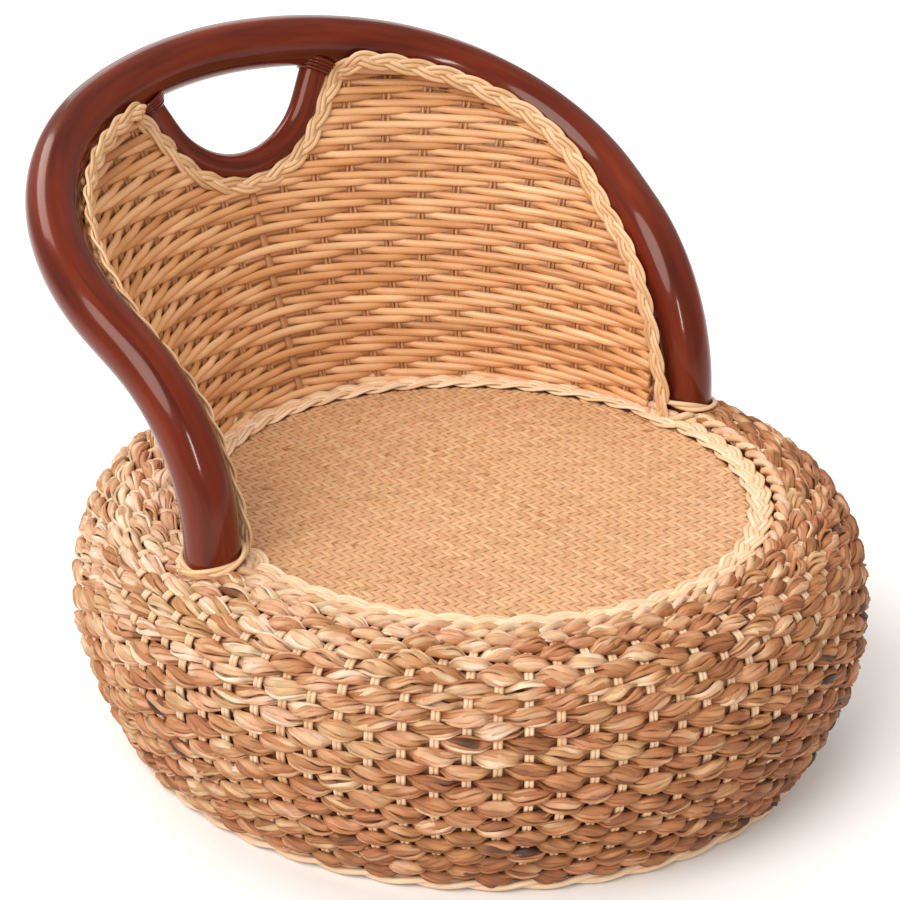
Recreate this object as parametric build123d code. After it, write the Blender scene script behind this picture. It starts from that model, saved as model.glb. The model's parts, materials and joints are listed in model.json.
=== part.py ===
"""Floor chair: a woven oval pouf with a mat seat, and a back of wicker in a bent pole. Millimetres."""
import os
from math import acos, cos, pi, radians, sin

from build123d import *

# The chair faces -Y, the pouf's axis is the working origin and the floor is z = 0.

# Pouf: semi-axes of its oval plan at the belly, the foot and the rim of the seat opening
BELLY_A = 271.0
BELLY_B = 289.5
BELLY_Z = 90.0
FOOT_A = 240.0
FOOT_B = 256.5
FOOT_Z = 9.0
RIM_A = 201.0
RIM_B = 214.0
RIM_Z = 180.0
SEAT_Y = -13.0
SHOULDER_POWER = 3.0
SKIRT_POWER = 1.25
WEAVE_WALL = 10.0
COURSES = 24
COURSE_BULGE = 2.6
BASE_STAKES = 84
STAKE_WIDTH = 8.0
STAKE_THICK = 4.0
FOOT_RING_D = 7.0

# Seat
BOARD_THICK = 8.0
MAT_THICK = 4.0
RIM_BRAID_WIDTH = 22.0
RIM_BRAID_HEIGHT = 11.0

# Inner frame of rattan poles
SEAT_HOOP_D = 20.0
BELLY_HOOP_D = 16.0
FLOOR_HOOP_D = 22.0
POST_D = 20.0
CROSS_BAR_D = 18.0
POST_ANGLES = (30.0, 70.0, 110.0, 150.0, 210.0, 250.0, 290.0, 330.0)
SEAT_BAR_PITCH = 90.0
FLOOR_BAR_PITCH = 180.0

# Back arch: one pole, drawn as a bending list from its top centre to a foot
POLE_D = 38.0
ARCH_TOP_Z = 423.0
ARCH_INSET = 3.8
ARCH_SLOPE = 27.8
TOP_BEND_R = 285.0
TOP_BEND_ANGLE = 23.8
SIDE_BEND_R = 186.0
SIDE_BEND_ANGLE = 73.2
SIDE_STRAIGHT = 28.0
LEG_BEND_R = 135.0

# Hand loop under the top of the arch
LOOP_D = 21.0
LOOP_BEND_R = 70.0
LOOP_BEND_ANGLE = 62.0
LOOP_LOW_Z = 340.0
LOOP_OUTSET = 1.4
LOOP_LEAN = 12.6

# Woven back: a flaring oval sheet between the seat board and the arch
BACK_SIDE_INSET = 10.0
BACK_REAR_INSET = 4.4
BACK_SIDE_LEAN = 0.06
BACK_SIDE_FLARE = 0.0018
BACK_LEAN = 0.40
BACK_THICK = 7.0
BACK_STAKES = 12
BACK_STAKE_PITCH = 6.43
POST_WIDTH = 11.0
BRAID_WIDTH = 14.0
BRAID_PROUD = 5.0

# Fastenings and floor glides
SCREW_D = 5.0
SCREW_HEAD_D = 9.0
SCREW_LENGTH = 52.0
BOARD_SCREW_LENGTH = 22.0
PIN_D = 4.0
PIN_LENGTH = 36.0
COLLAR_D = 6.0
GLIDE_D = 26.0
GLIDE_HEIGHT = 8.0
FLOOR_GAP = 5.0
NAIL_D = 3.0
NAIL_HEAD_D = 8.0
NAIL_HEAD_HEIGHT = 1.6
NAIL_LENGTH = 18.0

# Clearances
FIT = 0.3
EDGE_GAP = 0.5

# Places that follow from the sizes above
POLE_R = POLE_D / 2
LOOP_R = LOOP_D / 2
BOARD_TOP = RIM_Z - WEAVE_WALL
BOARD_LOW = BOARD_TOP - BOARD_THICK
MAT_TOP = BOARD_TOP + MAT_THICK
SEAT_HOOP_Z = BOARD_LOW - SEAT_HOOP_D / 2
FLOOR_HOOP_Z = FLOOR_GAP + FLOOR_HOOP_D / 2
BACK_FOOT_A = RIM_A - BACK_SIDE_INSET
BACK_FOOT_B = RIM_B + SEAT_Y - BACK_REAR_INSET
ARCH_TOP_Y = BACK_FOOT_B + BACK_LEAN * (ARCH_TOP_Z - BOARD_TOP) - ARCH_INSET
LOOP_LOW_Y = BACK_FOOT_B + BACK_LEAN * (LOOP_LOW_Z - BOARD_TOP) + LOOP_OUTSET
BRAID_ZONE = POLE_R + BRAID_WIDTH
LOOP_ZONE = LOOP_R + BRAID_WIDTH
SHEET_HALF = BACK_THICK / 2
BRAID_FRONT = -SHEET_HALF - BRAID_PROUD
STAKE_BACK = SHEET_HALF + STAKE_THICK
REACH = 2 * (ARCH_TOP_Y + ARCH_TOP_Z)
SHIFT_Y = (BELLY_B + COURSE_BULGE - ARCH_TOP_Y - POLE_R) / 2


def oval(a, b, y, z):
    """A flat oval face of the given semi-axes, level at height z."""
    return Pos(0, y, z) * Ellipse(a, b)


def oval_prism(a, b, y, low, high):
    """A straight-sided oval block between two heights."""
    return extrude(oval(a, b, y, low), amount=high - low)


def hoop(a, b, y, z, diameter):
    """A round pole bent to an oval ring of four tangent arcs, one to each side."""
    shift = (b - a) / (2 - 2**0.5)
    bows = []
    for number, (radius, centre) in enumerate(2 * [(a + shift, -shift), (b - shift, shift)]):
        quarter = revolve(Pos(radius, 0, 0) * Rot(90, 0, 0) * Circle(diameter / 2), Axis.Z, 90)
        bows.append(Rot(0, 0, 90 * number) * Pos(centre, 0, 0) * Rot(0, 0, -45) * quarter)
    return Pos(0, y, z) * (bows[0] + bows[1:])


def rod(start, end, diameter):
    """A straight round bar between two points."""
    axis = end - start
    return extrude(Plane(origin=start, z_dir=axis) * Circle(diameter / 2), amount=axis.length)


def superellipse(turn, power):
    """Share across and share along a rounded quarter, for a turn of 0 to 90 degrees."""
    return cos(turn) ** (2 / power), sin(turn) ** (2 / power)


def pouf_curve(steps=40):
    """The pouf's side, foot to rim, as points of half width and height."""
    points = []
    for step in range(steps + 1):
        across, along = superellipse(pi / 2 * (1 - step / steps), SKIRT_POWER)
        points.append((BELLY_A - (BELLY_A - FOOT_A) * (1 - across), BELLY_Z - (BELLY_Z - FOOT_Z) * along))
    for step in range(1, steps + 1):
        across, along = superellipse(pi / 2 * step / steps, SHOULDER_POWER)
        points.append((BELLY_A - (BELLY_A - RIM_A) * (1 - across), BELLY_Z + (RIM_Z - BELLY_Z) * along))
    return Polyline(*points)


def pouf_level(share, offset):
    """Semi-axes, centre and height of the pouf at a share of the way up, moved out along its normal."""
    spot = POUF.position_at(share * POUF.length, position_mode=PositionMode.LENGTH)
    along = POUF.tangent_at(share * POUF.length, position_mode=PositionMode.LENGTH)
    upper = spot.Y > BELLY_Z
    span = BELLY_A - (RIM_A if upper else FOOT_A)
    inset = (BELLY_A - spot.X) / span
    depth = BELLY_B - inset * (BELLY_B - (RIM_B if upper else FOOT_B))
    centre = SEAT_Y * inset if upper else 0.0
    grow = along.Y * offset
    return spot.X + grow, depth + grow, centre, spot.Y - along.X * offset


def pouf_levels(offset, levels=8):
    """Evenly spaced levels of the pouf's smooth side, at an offset from it."""
    return [pouf_level(level / levels, offset) for level in range(levels + 1)]


def width_at(levels, height):
    """Semi-axes of a stack of level ovals at a height."""
    for low, high in zip(levels, levels[1:]):
        if low[3] <= height <= high[3]:
            share = (height - low[3]) / (high[3] - low[3])
            return [low[axis] + share * (high[axis] - low[axis]) for axis in (0, 1)]


def back_levels(offset, levels=6):
    """Evenly spaced levels of the flaring back, at an offset from its middle surface."""
    rises = [(ARCH_TOP_Z - BOARD_TOP) * level / levels for level in range(levels + 1)]
    found = []
    for rise in rises:
        a = BACK_FOOT_A + BACK_SIDE_LEAN * rise + BACK_SIDE_FLARE * rise**2
        b = BACK_FOOT_B + BACK_LEAN * rise
        found.append((a + offset, b + offset, 0.0, BOARD_TOP + rise))
    return found


def stacked(levels):
    """The solid through a stack of level ovals."""
    return loft([oval(*level) for level in levels], ruled=True)


def stake(angle, front, back, width):
    """A flat upright stake between two stacks of ovals, square to them at an angle round the chair."""
    a, b, y, z = front[0]
    foot = Vector(a * cos(angle), y + b * sin(angle))
    outward = Vector(cos(angle) / a, sin(angle) / b).normalized()

    def reach(level):
        a, b, y, z = level
        along = outward.X**2 / a**2 + outward.Y**2 / b**2
        cross = foot.X * outward.X / a**2 + (foot.Y - y) * outward.Y / b**2
        start = foot.X**2 / a**2 + (foot.Y - y) ** 2 / b**2 - 1
        return (-cross + (cross**2 - along * start) ** 0.5) / along, z

    outline = Polyline(*[reach(level) for level in front + back[::-1]], close=True)
    plane = Plane(origin=foot, x_dir=outward, z_dir=outward.cross(Vector(0, 0, 1)))
    return plane * extrude(make_face(outline), amount=width / 2, both=True)


def lowest(shape):
    """The lowest of the solids that a cut has left."""
    return shape.solids().sort_by(Axis.Z)[0]


def bend(start, heading, toward, radius, turn):
    """An arc that leaves start along heading and turns towards a direction: its edge, end and heading."""
    side = (toward - heading * toward.dot(heading)).normalized()
    centre = start + side * radius

    def point(angle):
        return centre - side * (radius * cos(angle)) + heading * (radius * sin(angle))

    arc = ThreePointArc(start, point(turn / 2), point(turn))
    return arc, point(turn), heading * cos(turn) + side * sin(turn)


def arch_edges():
    """The right half of the arch's centre line, from the top centre to the foot, and the leg's bend."""
    slope = radians(ARCH_SLOPE)
    down_slope = Vector(0, -cos(slope), -sin(slope))
    top = Vector(0, ARCH_TOP_Y, ARCH_TOP_Z)
    crown, spot, heading = bend(top, Vector(1, 0, 0), down_slope, TOP_BEND_R, radians(TOP_BEND_ANGLE))
    inward = heading.rotate(Axis((0, 0, 0), Vector(1, 0, 0).cross(down_slope)), 90)
    side, spot, heading = bend(spot, heading, inward, SIDE_BEND_R, radians(SIDE_BEND_ANGLE))
    bend_start = spot + heading * SIDE_STRAIGHT
    straight = Line(spot, bend_start)
    down = Vector(0, 0, -1)
    knee, leg_top, heading = bend(bend_start, heading, down, LEG_BEND_R, acos(heading.dot(down)))
    leg = Line(leg_top, Vector(leg_top.X, leg_top.Y, FLOOR_HOOP_Z))
    return [crown, side, straight, knee, leg], leg_top


def both_sides(right):
    """A piece of the right half together with its mirror image."""
    return right + mirror(right, about=Plane.YZ)


def half_arch_tube(diameter):
    """A tube of the given diameter along the right half of the arch."""
    half = Wire(ARCH_EDGES)
    top = Plane(origin=half @ 0, z_dir=half % 0)
    return sweep(top * Circle(diameter / 2), path=half)


def arch_tube(diameter):
    """A tube of the given diameter along the whole arch."""
    return both_sides(half_arch_tube(diameter))


def outside_arch():
    """Everything in front of and above the arch, in the chair's side view."""
    knee_low = LEG_TOP
    slope = radians(ARCH_SLOPE)
    middle = Vector(0, knee_low.Y + LEG_BEND_R, knee_low.Z)
    turn = pi / 2 - slope
    knee_mid = middle + Vector(0, -cos(turn / 2), sin(turn / 2)) * LEG_BEND_R
    knee_high = middle + Vector(0, -cos(turn), sin(turn)) * LEG_BEND_R
    far = knee_high + Vector(0, cos(slope), sin(slope)) * REACH
    low = Vector(0, knee_low.Y, -REACH)
    front_low = Vector(0, -REACH, -REACH)
    front_high = Vector(0, -REACH, far.Z)
    outline = Wire([
        Line(low, Vector(0, knee_low.Y, knee_low.Z)),
        ThreePointArc(Vector(0, knee_low.Y, knee_low.Z), knee_mid, knee_high),
        Line(knee_high, far),
        Line(far, front_high),
        Line(front_high, front_low),
        Line(front_low, low),
    ])
    return extrude(Face(outline), amount=REACH, dir=(1, 0, 0), both=True)


def loop_plane():
    """The plane of the hand loop: X across the chair, Y up its lean, origin at the loop's lowest point."""
    lean = radians(LOOP_LEAN)
    return Plane(origin=(0, LOOP_LOW_Y, LOOP_LOW_Z), x_dir=(1, 0, 0), z_dir=(0, -cos(lean), sin(lean)))


def loop_points(offset):
    """The loop's corner points in its own plane, moved out by an offset: low, quarter, knee and tip."""
    turn = radians(LOOP_BEND_ANGLE)
    radius = LOOP_BEND_R + offset
    rise = (ARCH_TOP_Z - LOOP_LOW_Z) / cos(radians(LOOP_LEAN))

    def on_arc(angle):
        return Vector(radius * sin(angle), LOOP_BEND_R - radius * cos(angle))

    knee = on_arc(turn)
    tip = knee + Vector(cos(turn), sin(turn)) * ((rise - knee.Y) / sin(turn))
    return on_arc(0), on_arc(turn / 2), knee, tip


def loop_tube(diameter):
    """A tube along the hand loop, with its ends in the arch."""
    low, quarter, knee, tip = loop_points(0)
    half = Wire([ThreePointArc(low, quarter, knee), Line(knee, tip)])
    start = Plane(origin=half @ 0, z_dir=half % 0)
    return loop_plane() * both_sides(sweep(start * Circle(diameter / 2), path=half))


def loop_block(offset):
    """A block through the back, filling the loop's outline moved out by an offset."""
    low, quarter, knee, tip = loop_points(offset)
    right = Wire([ThreePointArc(low, quarter, knee), Line(knee, tip)])
    left = mirror(right, about=Plane.YZ)
    lid = Line(tip, Vector(-tip.X, tip.Y))
    outline = Face(Wire(right.edges() + left.edges() + [lid.edge()]))
    return loop_plane() * extrude(outline, amount=BRAID_ZONE * 2, both=True)


def back_layer(offset):
    """The solid inside the flaring back, at an offset from its middle surface."""
    return stacked(back_levels(offset))


def back_shell(inner, outer):
    """The part of the back between two offsets that lies behind and under the arch."""
    return back_layer(outer) - back_layer(inner) - OUTSIDE_ARCH


def make_back_arch():
    """The lacquered pole, coped over the hoops it is screwed to."""
    return both_sides(half_arch_tube(POLE_D) - SEAT_HOOP_ROOM - FLOOR_HOOP_ROOM - ARCH_SCREWS - HANDLE_PINS)


def make_handle_loop():
    """The hand loop, coped to the underside of the arch."""
    return loop_tube(LOOP_D) - ARCH_FIT - HANDLE_PINS


def make_handle_pins():
    """Steel pins that hold the loop's ends to the arch."""
    low, quarter, knee, tip = loop_points(0)
    along = (tip - knee).normalized()
    plane = loop_plane()
    pins = []
    for side in (1, -1):
        start = tip - along * (POLE_R + PIN_LENGTH / 2)
        end = start + along * PIN_LENGTH
        ends = [plane.from_local_coords(Vector(side * spot.X, spot.Y)) for spot in (start, end)]
        pins.append(rod(ends[0], ends[1], PIN_D))
    return pins


def make_arch_braid():
    """The braided edging along the inside of the arch."""
    strip = back_shell(BRAID_FRONT, SHEET_HALF) & arch_tube(2 * BRAID_ZONE)
    return strip - ARCH_FIT - loop_block(LOOP_ZONE) - leg_collars(COLLAR_D + 2 * FIT)


def make_handle_braid():
    """The braided edging under the hand loop."""
    strip = back_shell(BRAID_FRONT, SHEET_HALF) & loop_block(LOOP_ZONE)
    return strip - loop_block(LOOP_R + FIT) - ARCH_FIT


def make_back_weave():
    """The woven sheet of the back, inside its edgings."""
    return back_shell(-SHEET_HALF, SHEET_HALF) - arch_tube(2 * BRAID_ZONE) - loop_block(LOOP_ZONE)


def back_stake(angle, width):
    """One stake behind the weave, from the seat board up to the arch or the hand loop."""
    upright = stake(angle, back_levels(SHEET_HALF + FIT), back_levels(STAKE_BACK), width)
    return lowest(upright - ARCH_FIT - loop_block(LOOP_R + FIT))


def make_back_stakes():
    """Pairs of thin stakes, drawn as flat bars, to both sides of the middle post."""
    turns = [radians(number * BACK_STAKE_PITCH) for number in range(1, BACK_STAKES + 1)]
    return [back_stake(pi / 2 + side * turn, STAKE_WIDTH) for turn in turns for side in (1, -1)]


def make_back_post():
    """The thicker middle post, from the seat board to the hand loop."""
    return back_stake(pi / 2, POST_WIDTH)


def make_seat_mat():
    """The flat mat inside the braided rim."""
    inset = RIM_BRAID_WIDTH + 2 * EDGE_GAP
    return oval_prism(RIM_A - inset, RIM_B - inset, SEAT_Y, BOARD_TOP, MAT_TOP)


def make_seat_board():
    """The plywood seat, notched round the two legs."""
    board = oval_prism(RIM_A - EDGE_GAP, RIM_B - EDGE_GAP, SEAT_Y, BOARD_LOW, BOARD_TOP)
    return board - ARCH_FIT - BOARD_SCREWS


def make_seat_rim_braid():
    """The flat braid round the mat, tucked against the foot of the back."""
    a, b = RIM_A - EDGE_GAP, RIM_B - EDGE_GAP
    high = BOARD_TOP + RIM_BRAID_HEIGHT
    ring = oval_prism(a, b, SEAT_Y, BOARD_TOP, high)
    ring -= oval_prism(a - RIM_BRAID_WIDTH, b - RIM_BRAID_WIDTH, SEAT_Y, BOARD_TOP, high)
    ring = fillet(ring.edges().group_by(Axis.Z)[-1], RIM_BRAID_HEIGHT / 3)
    behind = Pos(0, LEG_TOP.Y + REACH / 2, 0) * Box(REACH, REACH, REACH) - back_layer(BRAID_FRONT - FIT)
    return ring - behind - ARCH_FIT


def make_seat_hoop():
    """The top hoop, inside the legs and under the seat board."""
    return SEAT_HOOP - ARCH_SCREWS - BOARD_SCREWS


def make_belly_hoop():
    """The middle hoop, which the stakes are tied to at the belly, notched where a leg comes close."""
    a, b = width_at(pouf_levels(-WEAVE_WALL - STAKE_THICK), BELLY_Z)
    inset = BELLY_HOOP_D / 2 + FIT
    return hoop(a - inset, b - inset, 0, BELLY_Z, BELLY_HOOP_D) - LEG_ROOM


def make_frame_posts():
    """Slanting poles between the floor hoop and the seat hoop."""
    posts = []
    for angle in POST_ANGLES:
        turn = radians(angle)
        low = Vector(FLOOR_A * cos(turn), FLOOR_B * sin(turn), FLOOR_HOOP_Z)
        high = Vector(SEAT_HOOP_A * cos(turn), SEAT_Y + SEAT_HOOP_B * sin(turn), SEAT_HOOP_Z)
        post = rod(low, high, POST_D) - FLOOR_HOOP_ROOM - SEAT_HOOP_ROOM
        posts += post.solids().sort_by(SortBy.VOLUME)[-1:]
    return posts


def bars_across(count, pitch, a, b, y, z, ring):
    """Parallel bars from back to front inside a hoop, coped to it."""
    bars = []
    for number in range(count):
        x = (number - (count - 1) / 2) * pitch
        half = b * (1 - (x / a) ** 2) ** 0.5
        bar = rod(Vector(x, y - half, z), Vector(x, y + half, z), CROSS_BAR_D) - ring
        bars += bar.solids().sort_by(SortBy.VOLUME)[-1:]
    return bars


def make_base_weave():
    """The woven pouf: courses of leaf over a hollow, open underneath, with room for the legs."""
    steps = range(2 * COURSES + 1)
    courses = [pouf_level(step / (2 * COURSES), COURSE_BULGE * (step % 2)) for step in steps]
    skin = stacked(courses) - stacked(pouf_levels(-WEAVE_WALL))
    skin -= oval_prism(RIM_A, RIM_B, SEAT_Y, BOARD_LOW, RIM_Z + COURSE_BULGE)
    skin -= oval_prism(FOOT_A - WEAVE_WALL, FOOT_B - WEAVE_WALL, 0, 0, FOOT_Z + WEAVE_WALL)
    return skin - BACK_ROOM - LEG_ROOM


def make_base_stakes():
    """Pairs of thin stakes up the inside of the weave, drawn as flat bars from foot to rim."""
    inner = pouf_levels(-WEAVE_WALL - STAKE_THICK)
    outer = pouf_levels(-WEAVE_WALL - FIT)
    stakes = []
    for number in range(BASE_STAKES):
        angle = (number + 0.5) * 2 * pi / BASE_STAKES
        stakes.append(lowest(stake(angle, inner, outer, STAKE_WIDTH) - LEG_ROOM - BACK_ROOM))
    return stakes


def make_base_foot_ring():
    """The binding that closes the bottom edge of the weave."""
    inset = FOOT_RING_D / 2
    return hoop(FOOT_A - inset, FOOT_B - inset, 0, FOOT_Z - inset, FOOT_RING_D)


def leg_collars(diameter):
    """A strand of cane tied round each leg where it enters the weave."""
    height = RIM_Z + COURSE_BULGE + COLLAR_D / 2
    ring = Torus(POLE_R + COLLAR_D / 2 + FIT, diameter / 2)
    return [Pos(side * LEG_TOP.X, LEG_TOP.Y, height) * ring for side in (1, -1)]


def screw(length, diameter, head):
    """A countersunk screw with its head at the origin, pointing down."""
    shank = Pos(0, 0, -length / 2) * Cylinder(diameter / 2, length)
    cone = (head - diameter) / 2
    return shank + Pos(0, 0, -cone / 2) * Cone(diameter / 2, head / 2, cone)


def make_arch_screws():
    """One screw through each leg into the seat hoop."""
    one = screw(SCREW_LENGTH, SCREW_D, SCREW_HEAD_D)
    return [
        Pos(side * (LEG_TOP.X + POLE_R), LEG_TOP.Y, SEAT_HOOP_Z) * Rot(0, side * 90, 0) * one
        for side in (1, -1)
    ]


def make_board_screws():
    """Screws through the board into the seat hoop, beside the posts."""
    one = screw(BOARD_SCREW_LENGTH, SCREW_D, SCREW_HEAD_D)
    screws = []
    for angle in POST_ANGLES:
        turn = radians(angle + 90 / len(POST_ANGLES))
        screws.append(Pos(SEAT_HOOP_A * cos(turn), SEAT_Y + SEAT_HOOP_B * sin(turn), BOARD_TOP) * one)
    return screws


def glide_places():
    """Points on the floor under the floor hoop, one below each post."""
    turns = [radians(angle) for angle in POST_ANGLES]
    return [Pos(FLOOR_A * cos(turn), FLOOR_B * sin(turn), 0) for turn in turns]


def make_glides():
    """Round glides under the floor hoop, hollowed to its underside."""
    low = extrude(Circle(GLIDE_D / 2), amount=GLIDE_HEIGHT)
    return [place * low - FLOOR_HOOP_ROOM - nail for place, nail in zip(glide_places(), GLIDE_NAILS)]


def make_glide_nails():
    """Nails that hold the glides, with their heads sunk above the floor face."""
    head = Pos(0, 0, NAIL_HEAD_HEIGHT * 1.5) * Cylinder(NAIL_HEAD_D / 2, NAIL_HEAD_HEIGHT)
    nail = head + Pos(0, 0, NAIL_HEAD_HEIGHT + NAIL_LENGTH / 2) * Cylinder(NAIL_D / 2, NAIL_LENGTH)
    return [place * nail for place in glide_places()]


# Shared shapes that several pieces are fitted to
POUF = pouf_curve()
ARCH_EDGES, LEG_TOP = arch_edges()
OUTSIDE_ARCH = outside_arch()
ARCH_FIT = arch_tube(POLE_D + 2 * FIT)
LEG_ROOM = arch_tube(POLE_D + 2 * EDGE_GAP)
BACK_ROOM = back_layer(STAKE_BACK + FIT)
SEAT_HOOP_A = LEG_TOP.X - POLE_R - SEAT_HOOP_D / 2 + 2 * FIT
SEAT_HOOP_B = SEAT_HOOP_A + RIM_B - RIM_A
FLOOR_A = FOOT_A - WEAVE_WALL - FLOOR_HOOP_D / 2 - FIT
FLOOR_B = FLOOR_A + FOOT_B - FOOT_A
SEAT_HOOP = hoop(SEAT_HOOP_A, SEAT_HOOP_B, SEAT_Y, SEAT_HOOP_Z, SEAT_HOOP_D)
FLOOR_HOOP = hoop(FLOOR_A, FLOOR_B, 0, FLOOR_HOOP_Z, FLOOR_HOOP_D)
SEAT_HOOP_ROOM = hoop(SEAT_HOOP_A, SEAT_HOOP_B, SEAT_Y, SEAT_HOOP_Z, SEAT_HOOP_D + 2 * FIT)
FLOOR_HOOP_ROOM = hoop(FLOOR_A, FLOOR_B, 0, FLOOR_HOOP_Z, FLOOR_HOOP_D + 2 * FIT)
ARCH_SCREWS = make_arch_screws()
BOARD_SCREWS = make_board_screws()
HANDLE_PINS = make_handle_pins()
GLIDE_NAILS = make_glide_nails()
SEAT_BARS = bars_across(3, SEAT_BAR_PITCH, SEAT_HOOP_A, SEAT_HOOP_B, SEAT_Y, SEAT_HOOP_Z, SEAT_HOOP_ROOM)
FLOOR_BARS = bars_across(2, FLOOR_BAR_PITCH, FLOOR_A, FLOOR_B, 0, FLOOR_HOOP_Z, FLOOR_HOOP_ROOM)

PIECES = {
    "back_arch": make_back_arch(),
    "handle_loop": make_handle_loop(),
    "handle_pins": HANDLE_PINS,
    "arch_braid": make_arch_braid(),
    "handle_braid": make_handle_braid(),
    "back_weave": make_back_weave(),
    "back_stakes": make_back_stakes(),
    "back_post": make_back_post(),
    "seat_mat": make_seat_mat(),
    "seat_board": make_seat_board(),
    "seat_rim_braid": make_seat_rim_braid(),
    "seat_hoop": make_seat_hoop(),
    "belly_hoop": make_belly_hoop(),
    "floor_hoop": FLOOR_HOOP - GLIDE_NAILS,
    "frame_posts": make_frame_posts(),
    "seat_cross_bars": SEAT_BARS,
    "floor_cross_bars": FLOOR_BARS,
    "base_weave": make_base_weave(),
    "base_stakes": make_base_stakes(),
    "base_foot_ring": make_base_foot_ring(),
    "leg_collars": leg_collars(COLLAR_D),
    "arch_screws": ARCH_SCREWS,
    "board_screws": BOARD_SCREWS,
    "glides": make_glides(),
    "glide_nails": GLIDE_NAILS,
}

os.makedirs("parts", exist_ok=True)
for name, piece in PIECES.items():
    solids = piece if isinstance(piece, list) else piece.solids()
    export_step(Pos(0, SHIFT_Y, 0) * Compound(children=list(solids)), f"parts/{name}.step")
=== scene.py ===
import json
import math

import bpy
import numpy as np
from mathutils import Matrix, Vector


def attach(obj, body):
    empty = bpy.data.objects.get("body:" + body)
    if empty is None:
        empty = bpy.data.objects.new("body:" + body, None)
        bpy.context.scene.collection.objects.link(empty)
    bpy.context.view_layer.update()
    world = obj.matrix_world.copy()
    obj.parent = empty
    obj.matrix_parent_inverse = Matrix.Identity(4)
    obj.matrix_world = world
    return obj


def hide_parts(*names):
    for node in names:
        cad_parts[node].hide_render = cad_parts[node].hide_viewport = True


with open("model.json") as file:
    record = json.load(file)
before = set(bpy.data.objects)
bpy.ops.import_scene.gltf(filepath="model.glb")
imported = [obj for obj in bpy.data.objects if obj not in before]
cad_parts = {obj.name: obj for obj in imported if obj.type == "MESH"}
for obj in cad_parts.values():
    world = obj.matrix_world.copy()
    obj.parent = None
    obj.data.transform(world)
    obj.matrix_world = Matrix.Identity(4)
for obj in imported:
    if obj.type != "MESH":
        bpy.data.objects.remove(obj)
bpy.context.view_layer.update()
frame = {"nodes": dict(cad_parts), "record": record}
RNG = np.random.default_rng(11)

FULL_TURN = 2 * np.pi
UP = np.array([0, 0, 1.0])
METRES = 0.001
TINY = 1e-9

# Sizes in millimetres, in the chair's own frame: pouf axis at the origin, floor at z = 0, front at -Y.
# SHIFT_Y takes it to the part's frame. An oval has a half width a, a half depth b and a height z.
SHIFT_Y = -10.45
BELLY_A, BELLY_B, BELLY_Z = 271.0, 289.5, 90.0
FOOT_A, FOOT_B, FOOT_Z = 240.0, 256.5, 9.0
RIM_A, RIM_B, RIM_Z = 201.0, 214.0, 180.0
SEAT_Y = -13.0
SHOULDER_POWER, SKIRT_POWER = 3.0, 1.25
ROWS, STAKES = 24, 84
BOARD_TOP, MAT_TOP = 170.0, 174.0
POLE_R, LOOP_R = 19.0, 10.5

# Values and paths

FEWEST_KNOTS = 4


def unit(v):
    return v / np.maximum(np.linalg.norm(v, axis=-1, keepdims=True), TINY)


def ease(share):
    """A share of the way that starts and ends slowly."""
    return share * share * (3 - 2 * share)


def smooth_noise(count, step, closed=True):
    """Smooth random values of about -1 to 1 along a line of samples, one knot per step."""
    knots = max(FEWEST_KNOTS, int(round(count / step)))
    values = RNG.uniform(-1, 1, knots + (0 if closed else 1))
    spots = np.arange(count) / count * knots
    low = np.floor(spots).astype(int)
    share = ease(spots - low)
    return values[low % len(values)] * (1 - share) + values[(low + 1) % len(values)] * share


def smoothed(values, kernel):
    """Values averaged with their neighbours, by the weights of a kernel."""
    return np.convolve(np.pad(values, len(kernel) // 2, mode="edge"), kernel, mode="valid")


def circle(count):
    """Even angles round a full turn."""
    return np.arange(count) / count * FULL_TURN


def ring(a, b, y, z, count):
    """A level oval."""
    theta = circle(count)
    return np.stack([a * np.cos(theta), y + b * np.sin(theta), np.full(count, float(z))], 1)


def directions(path, closed=False):
    """Unit vectors along a path."""
    if closed:
        return unit(np.roll(path, -1, 0) - np.roll(path, 1, 0))
    return unit(np.gradient(path, axis=0))


def lengths(path):
    """How far each point lies along a path."""
    return np.concatenate([[0], np.cumsum(np.linalg.norm(np.diff(path, axis=0), axis=1))])


def resample(path, count):
    """A path along the same line with a number of points at even distances."""
    length = lengths(path)
    spots = np.linspace(0, length[-1], count)
    return np.stack([np.interp(spots, length, column) for column in path.T], 1)


def even_steps(path, step):
    """A path along the same line with points about a step apart."""
    return resample(path, max(2, int(round(lengths(path)[-1] / step)) + 1))


def smooth_path(path, step, passes=3):
    """A path in even steps, with its bends eased by a few passes."""
    path = even_steps(path, step)
    for _ in range(passes):
        inner = (path[:-2] + 2 * path[1:-1] + path[2:]) / 4
        path = np.vstack([path[:1], inner, path[-1:]])
    return path


def both_sides(half):
    """A whole path from its right half, left to right."""
    return np.vstack([(half * [-1, 1, 1])[:0:-1], half])


def gaps_to(points, path):
    """Vectors to points from the nearest spots of a path."""
    gaps = points[:, None] - path[None]
    return gaps[np.arange(len(points)), np.argmin(np.linalg.norm(gaps, axis=2), axis=1)]


# Strands. Their map runs lengthways by MAP_SCALE per millimetre, from a random start within MAP_SPREAD.
# MAP_SEAM is the last step of a closed one.

MAP_SCALE, MAP_SPREAD, MAP_SEAM = 0.01, 50, 3


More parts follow.
